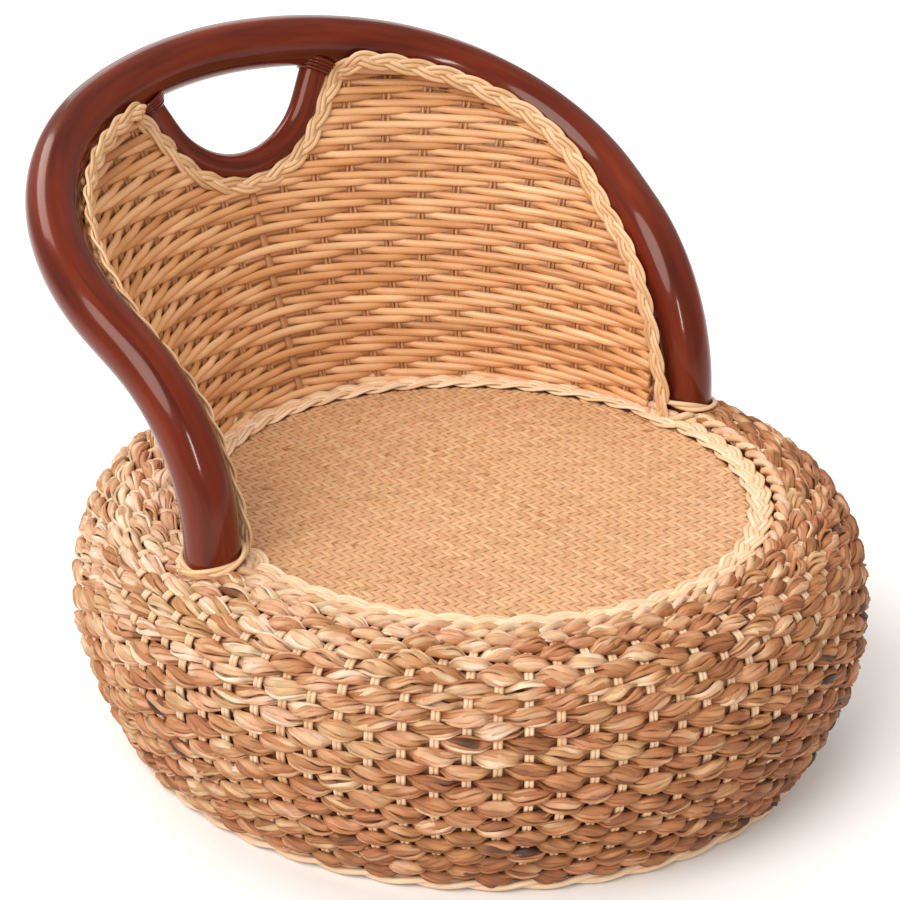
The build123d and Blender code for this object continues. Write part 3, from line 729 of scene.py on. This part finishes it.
def mat_strips(along_y):
    """Flat strips of the mat one way, over two and under two of the other way."""
    strands = Strands()
    reach, other = (MAT_A, MAT_B) if along_y else (MAT_B, MAT_A)
    pitch, step = (MAT_PITCH_X, MAT_PITCH_Y) if along_y else (MAT_PITCH_Y, MAT_PITCH_X)
    strips = int(reach / pitch)
    for number in range(-strips, strips + 1):
        beside = number * pitch
        half = other * math.sqrt(max(0.0, 1 - (beside / reach) ** 2)) - MAT_TRIM
        if half < 2 * pitch:
            continue
        spots = np.arange(-half, half, step / 2)
        wave = np.clip(MAT_SHARP * np.cos(FULL_TURN * (spots / step + number - 0.5) / MAT_REPEAT), -1, 1)
        wave = wave * (1 if along_y else -1)
        height = MAT_TOP - STRIP_DEPTH + STRIP_WAVE * wave
        across = np.full_like(spots, beside)
        x, y = (across, spots) if along_y else (spots, across)
        tone = STRIP_TONE + RNG.uniform(-STRIP_TONE_SPREAD, STRIP_TONE_SPREAD)
        tone = tone + STRIP_TONE_WAVE * smooth_noise(len(spots), STRIP_TONE_STEP, False)
        fleck = RNG.random(len(spots)) < FLECK_CHANCE
        # Painted shade: darker where the strip dips under, paler where it lies on top.
        tone = tone + STRIP_RECESS_SHADE * wave - FLECK_DARK * fleck - FLECK_TAIL * np.roll(fleck, 1)
        strands.add(
            np.column_stack([x, SEAT_Y + y, height]), UP, pitch / 2, STRIP_THICK, np.clip(tone, 0, 1),
            sides=STRIP_SIDES, square=STRIP_SQUARE)
    return strands


# Weave of the back

BACK_PITCH = math.radians(6.43)
BACK_ROW, BACK_SAG, BACK_FOOT, BACK_REPEAT, SPARE_ROWS = 4.83, 1.2, 172.0, 3, 3
BACK_ROWS = int((ARCH_RIGHT[0, 2] - BACK_FOOT) / BACK_ROW) + SPARE_ROWS
WEFT_SAMPLES, WEFT_STAKES, WEFT_TURN, WEFT_LOWEST = 7, 13, 1.56, 171.0
# Wefts and stakes run on by TUCK under the braid of the loop, to so much room at their ends
TUCK, WEFT_END, STAKE_END = 4.0, -0.5, 2.0
SHORTEST_SAMPLES, LEAST_ROOM = 5, 8.0
WEFT_DEPTH, WEFT_OUT, WEFT_WIDE, WEFT_THICK = 2.4, -0.3, 3.0, 2.3
WEFT_JITTER, WEFT_JITTER_STEP = 0.2, 10
# Painted light and shade: a weft is paler where it passes in front and darker where it dips behind a stake.
WEFT_TONE, WEFT_TONE_SPREAD, WEFT_TONE_WAVE, WEFT_TONE_STEP, WEFT_RECESS_SHADE = 0.56, 0.20, 0.18, 9, 0.06
# The backing's dark tone is painted shade: it shows in the gaps of the back's weave.
BACKING_OUT, BACKING_WIDE, BACKING_THICK, BACKING_SHADE_TONE, BACKING_SIDES = 0.6, 3.0, 0.4, 0.0, 4
# Uprights: pairs of stakes beside the middle post, and that post
BACK_STAKES = 12
UPRIGHT_START, UPRIGHT_STOP, UPRIGHT_STEP, UPRIGHT_SHORTEST = 165.0, 420.0, 1.8, 6
# The uprights' dark tone is painted shade: they sit back between the wefts.
UPRIGHT_SWAY, UPRIGHT_APART, UPRIGHT_SHADE_TONE, UPRIGHT_TONE_SPREAD = 0.7, 0.0072, 0.20, (-0.12, 0.15)


def goes_behind(stake_number, row):
    """Rows pass in front of two stakes and behind one, mirrored; two of three pass behind the middle post."""
    phase = (row - np.abs(stake_number)) % BACK_REPEAT
    return (phase == 0) | ((stake_number == 0) & (phase == 1))


def stretches(turn, height):
    """The parts of a row that lie on the woven back and are long enough to hold."""
    space = room(turn, height, TUCK)
    keep = (space > WEFT_END) & (np.abs(turn) < WEFT_TURN) & (height > WEFT_LOWEST)
    edges = np.flatnonzero(np.diff(np.concatenate([[0], keep.astype(int), [0]])))
    found = [slice(start, stop) for start, stop in zip(edges[::2], edges[1::2])]
    return [part for part in found
            if part.stop - part.start >= SHORTEST_SAMPLES and space[part].max() >= LEAST_ROOM]


def back_rows(first, last):
    """Wefts of the back that sag a little to the sides, each over a dark flat strip that closes the sheet and
    stands in for the shade in its gaps.
    """
    strands = Strands()
    reach = WEFT_STAKES * WEFT_SAMPLES
    spot = np.arange(-reach, reach + 1) / WEFT_SAMPLES
    turn = spot * BACK_PITCH
    low = np.floor(spot).astype(int)
    share = ease(spot - low)
    for row in range(first, last):
        here = np.where(goes_behind(low, row), 1.0, -1.0)
        there = np.where(goes_behind(low + 1, row), 1.0, -1.0)
        depth = here * (1 - share) + there * share
        level = BACK_FOOT + row * BACK_ROW - BACK_SAG * np.sqrt(spot ** 2 + 1)
        z = level + WEFT_JITTER * smooth_noise(len(turn), WEFT_JITTER_STEP, False)
        for part in stretches(turn, z):
            tone = WEFT_TONE + RNG.uniform(-WEFT_TONE_SPREAD, WEFT_TONE_SPREAD)
            tone = tone + WEFT_TONE_WAVE * smooth_noise(part.stop - part.start, WEFT_TONE_STEP, False)
            # Painted shade: darker where the weft lies back behind a stake.
            tone = np.clip(tone - WEFT_RECESS_SHADE * depth[part], 0, 1)
            path = sheet(turn[part], z[part], depth[part] * WEFT_DEPTH + WEFT_OUT)
            strands.add(path, back_normal(turn[part], z[part]), WEFT_WIDE, WEFT_THICK, tone)
        # A dark strip between two rows closes the sheet; its dark tone is painted shade in the gaps.
        z = level + BACK_ROW / 2
        for part in stretches(turn, z):
            path, up = sheet(turn[part], z[part], BACKING_OUT), back_normal(turn[part], z[part])
            strands.add(path, up, BACKING_WIDE, BACKING_THICK, BACKING_SHADE_TONE, sides=BACKING_SIDES)
    return strands


def back_stakes(numbers, leans, wide, thick, sides):
    """Stakes of the back, counted from its middle, in pairs or singly, up to its edge."""
    strands = Strands()
    for number in numbers:
        z = np.arange(UPRIGHT_START, UPRIGHT_STOP, UPRIGHT_STEP)
        turn = np.full(len(z), number * BACK_PITCH)
        keep = room(turn, np.maximum(z, BACK_FOOT), TUCK) > STAKE_END
        stop = np.argmin(keep) if not keep.all() else len(z)
        if stop < UPRIGHT_SHORTEST:
            continue
        z, turn = z[:stop], turn[:stop]
        row = (z - BACK_FOOT + BACK_SAG * math.hypot(number, 1)) / BACK_ROW
        sway = UPRIGHT_SWAY * np.cos(FULL_TURN * (row - abs(number)) / BACK_REPEAT)
        for lean in leans:
            path = sheet(turn + lean * UPRIGHT_APART, z, -sway)
            # Painted shade: the upright is toned dark because it lies back between the wefts.
            tone = UPRIGHT_SHADE_TONE + RNG.uniform(*UPRIGHT_TONE_SPREAD)
            strands.add(path, back_normal(turn, z), wide, thick, tone, sides=sides)
    return strands


# Poles and bindings

POLE_TONE = 0.5
# A direction that no pole starts in
POLE_ASIDE = [0.3, 1.0, 0.2]
# Turns of the loop's bindings: distance from the loop's end, and how far they flare
BINDING_TURNS = ((23.0, 4.4), (25.4, 3.4), (27.8, 2.3), (30.2, 1.2))
BINDING_POINTS, BINDING_R, BINDING_SIDES, BINDING_SPAN = 48, 1.5, 6, 3
COLLAR_GAP, COLLAR_POINTS, COLLAR_TILT, COLLAR_Z = 2.2, 80, -0.20, 184.0


def smooth_pole(path, radius, sides):
    """A round pole whose section keeps from twisting along the path."""
    strands = Strands()
    along = directions(path)
    up = np.zeros_like(path)
    up[0] = unit(np.cross(along[0], POLE_ASIDE))
    for k in range(1, len(path)):
        up[k] = unit(up[k - 1] - along[k] * np.dot(up[k - 1], along[k]))
    strands.add(path, up, radius, radius, POLE_TONE, sides=sides)
    return strands


def loop_bindings():
    """Turns of lacquered cane that flare out where the ends of the hand loop meet the arch."""
    strands = Strands()
    turn = circle(BINDING_POINTS)
    for end, inner in ((LOOP[-1], LOOP[-1 - BINDING_SPAN]), (LOOP[0], LOOP[BINDING_SPAN])):
        along = unit(end - inner)
        first = unit(np.cross(along, [0, 1.0, 0]))
        second = np.cross(along, first)
        spoke = first * np.cos(turn)[:, None] + second * np.sin(turn)[:, None]
        for far, flare in BINDING_TURNS:
            path = end - along * far + spoke * (LOOP_R + flare)
            strands.add(path, along, BINDING_R, BINDING_R, POLE_TONE, closed=True, sides=BINDING_SIDES)
    return strands


def leg_collars():
    """A twisted strand round each leg, tilted down towards the outside."""
    strands = Strands()
    for side in (1, -1):
        path = ring(POLE_R + COLLAR_GAP, POLE_R + COLLAR_GAP, 0, 0, COLLAR_POINTS)
        path[:, 2] = COLLAR_TILT * path[:, 0] * side
        path += [side * LEG_TOP[0], LEG_TOP[1], COLLAR_Z]
        rope(strands, path, radius=1.7, lay=66.0, tone=0.66)
    return strands


# The edging ropes and braids: their distances from the ovals that they follow, and their points
RIM_ROPE_OUT, RIM_ROPE_DOWN, RIM_ROPE_POINTS, RIM_ROPE_CLEAR = 2.5, 1.5, 560, 4.5
FOOT_ROPE_IN, FOOT_ROPE_DOWN, FOOT_ROPE_POINTS = 3.5, 3.5, 420
RIM_PLAIT_IN, RIM_PLAIT_Z, RIM_PLAIT_POINTS, RIM_PLAIT_CLEAR = 11.5, 176.2, 900, 9.0
BACK_PLAIT_OUT, BACK_PLAIT_STEP, BACK_PLAIT_PASSES = -5.0, 1.4, 4
# An oval near the back's braid, which gives the braid's turns
BACK_PLAIT_A, BACK_PLAIT_B = 205.0, 215.0
# Within a reach of the arch's middle line that braid tilts to lie on the pole
TILT_REACH, TILT_FADE, TILT = 36.0, 10.0, 0.5


def rim_rope():
    strands = Strands()
    edge = ring(RIM_A + RIM_ROPE_OUT, RIM_B + RIM_ROPE_OUT, SEAT_Y, RIM_Z - RIM_ROPE_DOWN, RIM_ROPE_POINTS)
    rope(strands, clear_of_legs(edge, RIM_ROPE_CLEAR), radius=2.6, lay=30.0, tone=0.78)
    return strands


def foot_rope():
    strands = Strands()
    edge = ring(FOOT_A - FOOT_ROPE_IN, FOOT_B - FOOT_ROPE_IN, 0, FOOT_Z - FOOT_ROPE_DOWN, FOOT_ROPE_POINTS)
    rope(strands, edge, radius=2.2, lay=70.0, tone=0.75)
    return strands


def rim_plait():
    strands = Strands()
    edge = ring(RIM_A - RIM_PLAIT_IN, RIM_B - RIM_PLAIT_IN, SEAT_Y, RIM_PLAIT_Z, RIM_PLAIT_POINTS)
    edge = clear_of_legs(edge, RIM_PLAIT_CLEAR)
    plait(strands, edge, UP, half=4.3, cane=1.9, lay=72.0, tone=0.82, canes=3, closed=True)
    return strands


def back_plait():
    strands = Strands()
    turn, z = border_path()
    path = smooth_path(sheet(turn, z, BACK_PLAIT_OUT), BACK_PLAIT_STEP, BACK_PLAIT_PASSES)
    turn = np.arctan2(path[:, 0] / BACK_PLAIT_A, path[:, 1] / BACK_PLAIT_B)
    away = gaps_to(path, ARCH_FINE)
    near = np.clip((TILT_REACH - np.linalg.norm(away, axis=1)) / TILT_FADE, 0, 1)[:, None]
    face = unit(back_normal(turn, path[:, 2]) + TILT * near * unit(away))
    plait(strands, path, face, half=3.7, cane=1.85, lay=66.0, tone=0.48, canes=2)
    return strands


def build():
    """Shows every piece. The order of the calls is the order of the random draws."""
    for number, first in enumerate(range(0, ROWS, ROWS_PER_PIECE)):
        rows = base_rows(first, first + ROWS_PER_PIECE)
        put(rows, f"leaf_rows_{number + 1}", HYACINTH, "hyacinth", "base_weave")
    put(rim_rope(), "rim_rope", HYACINTH, "hyacinth", "base_weave")
    put(base_stakes(), "base_stake_pairs", PALE_CANE, "cane", "base_stakes")
    put(foot_rope(), "foot_binding", PALE_CANE, "cane", "base_foot_ring")

    put(mat_strips(True), "mat_strips_long", MAT, "cane_mat", "seat_mat")
    put(mat_strips(False), "mat_strips_cross", MAT, "cane_mat", "seat_mat")
    put(rim_plait(), "rim_plait", PALE_CANE, "cane", "seat_rim_braid")

    put(back_plait(), "back_plait", PALE_CANE, "cane", "arch_braid", "handle_braid")
    put(back_rows(0, BACK_ROWS // 2), "back_wefts_low", CANE, "cane", "back_weave")
    put(back_rows(BACK_ROWS // 2, BACK_ROWS), "back_wefts_high", CANE, "cane", "back_weave")
    beside = [number for number in range(-BACK_STAKES, BACK_STAKES + 1) if number]
    pairs = back_stakes(beside, leans=(-1, 1), wide=1.5, thick=1.5, sides=6)
    put(pairs, "back_stake_pairs", CANE, "cane", "back_stakes")
    post = back_stakes([0], leans=(0,), wide=3.3, thick=2.0, sides=8)
    put(post, "back_middle_post", CANE, "cane", "back_post")

    arch = smooth_pole(smooth_path(ARCH, step=5.0), POLE_R, sides=40)
    put(arch, "arch_pole", LACQUER, "lacquered_pole", "back_arch")
    loop = smooth_pole(smooth_path(LOOP, step=3.0), LOOP_R, sides=28)
    put(loop, "loop_pole", LACQUER, "lacquered_pole", "handle_loop")
    put(leg_collars(), "leg_bindings", PALE_CANE, "cane", "leg_collars")
    put(loop_bindings(), "loop_bindings", LACQUER, "lacquered_pole", "handle_loop")


def dress_solids():
    """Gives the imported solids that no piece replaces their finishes, by their material slots."""
    finishes = {"rattan_pole": RATTAN, "plywood": BOARD, "steel": STEEL, "glide_plastic": GLIDE}
    slots = {part["node"]: part["material_slot"] for part in frame["record"]["subparts"]}
    for name, item in frame["nodes"].items():
        if slots[name] in finishes:
            item.data.materials.clear()
            item.data.materials.append(finishes[slots[name]])


# Studio, in metres

FLOOR_SIZE, FLOOR_COLOUR, FLOOR_ROUGH = 30, (0.92, 0.92, 0.92), 0.9
SKY_COLOUR, SKY_STRENGTH = (1.0, 0.95, 0.90, 1), 0.47
KEY_POWER, KEY_ANGLE, KEY_COLOUR, KEY_DIRECTION = 2.35, 0.72, (1.0, 0.98, 0.95), (2.05, 0.5, -2.0)
CHAIR_MIDDLE = (0, 0.05, 0.25)
CAMERA_TARGET = Vector((0, SHIFT_Y * METRES, 0.12))
CAMERA_AZIMUTH, CAMERA_HEIGHT, CAMERA_DISTANCE = math.radians(38.644), math.radians(26.4145), 2.1343
CAMERA_SENSOR, CAMERA_LENS = 36.0, 120.4
# The camera looks a little past its target: so far ahead, to the left and up
AIM_AHEAD, AIM_LEFT, AIM_UP = 3.344, 0.0197, 0.1192


def facing(direction):
    """The turn that makes a light or a camera look along a direction."""
    return direction.to_track_quat("-Z", "Y").to_euler()


def area_light(name, place, target, size, power, colour=(1, 1, 1), glossy=True):
    data = bpy.data.lights.new(name, "AREA")
    data.shape = "RECTANGLE"
    data.size, data.size_y = size
    data.energy = power
    data.color = colour
    lamp = bpy.data.objects.new(name, data)
    lamp.location = place
    lamp.rotation_euler = facing(Vector(target) - Vector(place))
    lamp.visible_glossy = glossy
    bpy.context.scene.collection.objects.link(lamp)


def lights():
    scene = bpy.context.scene
    world = bpy.data.worlds.new("studio_world")
    scene.world = world
    world.use_nodes = True
    set_sockets(world.node_tree.nodes["Background"], {"Color": SKY_COLOUR, "Strength": SKY_STRENGTH})
    sun = bpy.data.lights.new("key", "SUN")
    sun.energy, sun.angle, sun.color = KEY_POWER, KEY_ANGLE, KEY_COLOUR
    key = bpy.data.objects.new("key", sun)
    key.rotation_euler = facing(Vector(KEY_DIRECTION))
    scene.collection.objects.link(key)
    area_light("softbox", place=(-1.0, -1.75, 1.1), target=CHAIR_MIDDLE, size=(0.18, 0.65), power=10)
    area_light("back_top", place=(-0.6, 1.45, 1.8), target=CHAIR_MIDDLE, size=(1.3, 0.8), power=19.5,
               colour=(1.0, 0.96, 0.92))
    area_light("right_top", place=(1.1, 0.1, 2.3), target=(-0.15, 0.1, 0.3), size=(2.2, 2.2), power=20,
               colour=(1.0, 0.95, 0.90), glossy=False)
    area_light("rear_fill", place=(1.2, 2.0, 1.2), target=(0, 0, 0.2), size=(1.8, 1.2), power=8)


def camera():
    data = bpy.data.cameras.new("camera")
    item = bpy.data.objects.new("camera", data)
    bpy.context.scene.collection.objects.link(item)
    level = math.cos(CAMERA_HEIGHT)
    item.location = CAMERA_TARGET + CAMERA_DISTANCE * Vector((
        -math.sin(CAMERA_AZIMUTH) * level, -math.cos(CAMERA_AZIMUTH) * level, math.sin(CAMERA_HEIGHT)))
    ahead = (CAMERA_TARGET - item.location).normalized()
    right = ahead.cross(Vector(UP)).normalized()
    item.rotation_euler = facing(ahead * AIM_AHEAD - right * AIM_LEFT + right.cross(ahead) * AIM_UP)
    data.sensor_width = CAMERA_SENSOR
    data.lens = CAMERA_LENS
    data.dof.use_dof = False
    bpy.context.scene.camera = item


def studio():
    bpy.ops.mesh.primitive_plane_add(size=FLOOR_SIZE, location=(0, 0, 0))
    floor = bpy.context.active_object
    floor.name = "studio_floor"
    floor.data.materials.append(plain_material("studio_white", FLOOR_COLOUR, FLOOR_ROUGH))
    lights()
    camera()
    settings = bpy.context.scene.view_settings
    settings.view_transform = "Standard"
    settings.look = "None"


build()
dress_solids()
studio()
